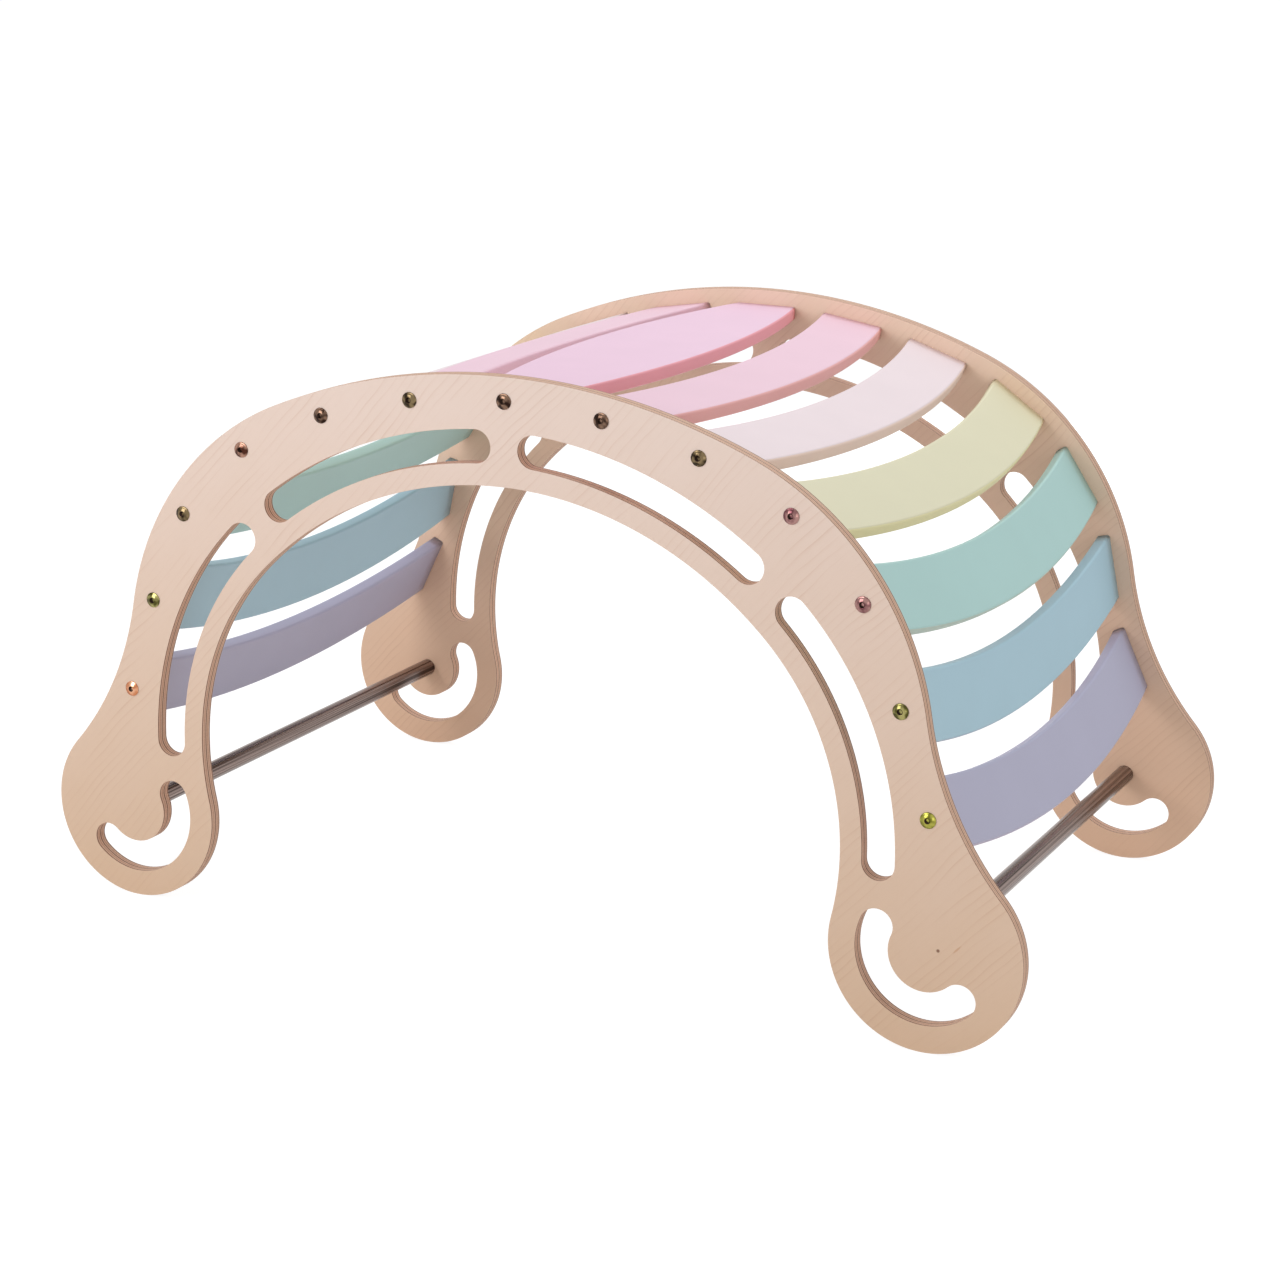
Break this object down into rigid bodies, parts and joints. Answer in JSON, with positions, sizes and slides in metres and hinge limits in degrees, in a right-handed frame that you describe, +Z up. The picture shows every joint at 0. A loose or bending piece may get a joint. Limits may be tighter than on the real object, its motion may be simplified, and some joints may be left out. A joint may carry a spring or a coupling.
{
  "type": "children's climbing and rocking arch",
  "caption": "Plywood arch for children to climb, crawl under or rock on: two slotted side panels joined by bowed pastel slats and steel hand bars.",
  "frame": {"origin": "on the floor, midway between the four feet", "axes": "+X along the arch from foot to foot, +Y across it along the slats, +Z up"},
  "size_m": [1.1042, 0.646, 0.6119],
  "materials": {
    "birch_ply": "clear matt lacquer",
    "violet_paint": "satin paint",
    "blue_paint": "satin paint",
    "mint_paint": "satin paint",
    "yellow_paint": "satin paint",
    "peach_paint": "satin paint",
    "pink_paint": "satin paint",
    "steel_bar": "brushed",
    "bronzed_bolt": "bronzed, glossy",
    "insert_brass": "turned",
    "beech_dowel": "plain"
  },
  "bodies": {
    "root": {"side_panel_front": "birch_ply", "side_panel_back": "birch_ply", "hand_bar_left": "steel_bar", "hand_bar_right": "steel_bar", "slat_1": "violet_paint", "slat_2": "blue_paint", "slat_3": "mint_paint", "slat_4": "yellow_paint", "slat_5": "peach_paint", "slat_6": "pink_paint", "slat_7": "pink_paint", "slat_8": "pink_paint", "slat_9": "peach_paint", "slat_10": "yellow_paint", "slat_11": "mint_paint", "slat_12": "blue_paint", "slat_13": "violet_paint", "bolt_front_1": "bronzed_bolt", "bolt_front_2": "bronzed_bolt", "bolt_front_3": "bronzed_bolt", "bolt_front_4": "bronzed_bolt", "bolt_front_5": "bronzed_bolt", "bolt_front_6": "bronzed_bolt", "bolt_front_7": "bronzed_bolt", "bolt_front_8": "bronzed_bolt", "bolt_front_9": "bronzed_bolt", "bolt_front_10": "bronzed_bolt", "bolt_front_11": "bronzed_bolt", "bolt_front_12": "bronzed_bolt", "bolt_front_13": "bronzed_bolt", "bolt_back_1": "bronzed_bolt", "bolt_back_2": "bronzed_bolt", "bolt_back_3": "bronzed_bolt", "bolt_back_4": "bronzed_bolt", "bolt_back_5": "bronzed_bolt", "bolt_back_6": "bronzed_bolt", "bolt_back_7": "bronzed_bolt", "bolt_back_8": "bronzed_bolt", "bolt_back_9": "bronzed_bolt", "bolt_back_10": "bronzed_bolt", "bolt_back_11": "bronzed_bolt", "bolt_back_12": "bronzed_bolt", "bolt_back_13": "bronzed_bolt", "inserts_front": "insert_brass", "inserts_back": "insert_brass", "dowels_front": "beech_dowel", "dowels_back": "beech_dowel"}
  },
  "joints": []
}
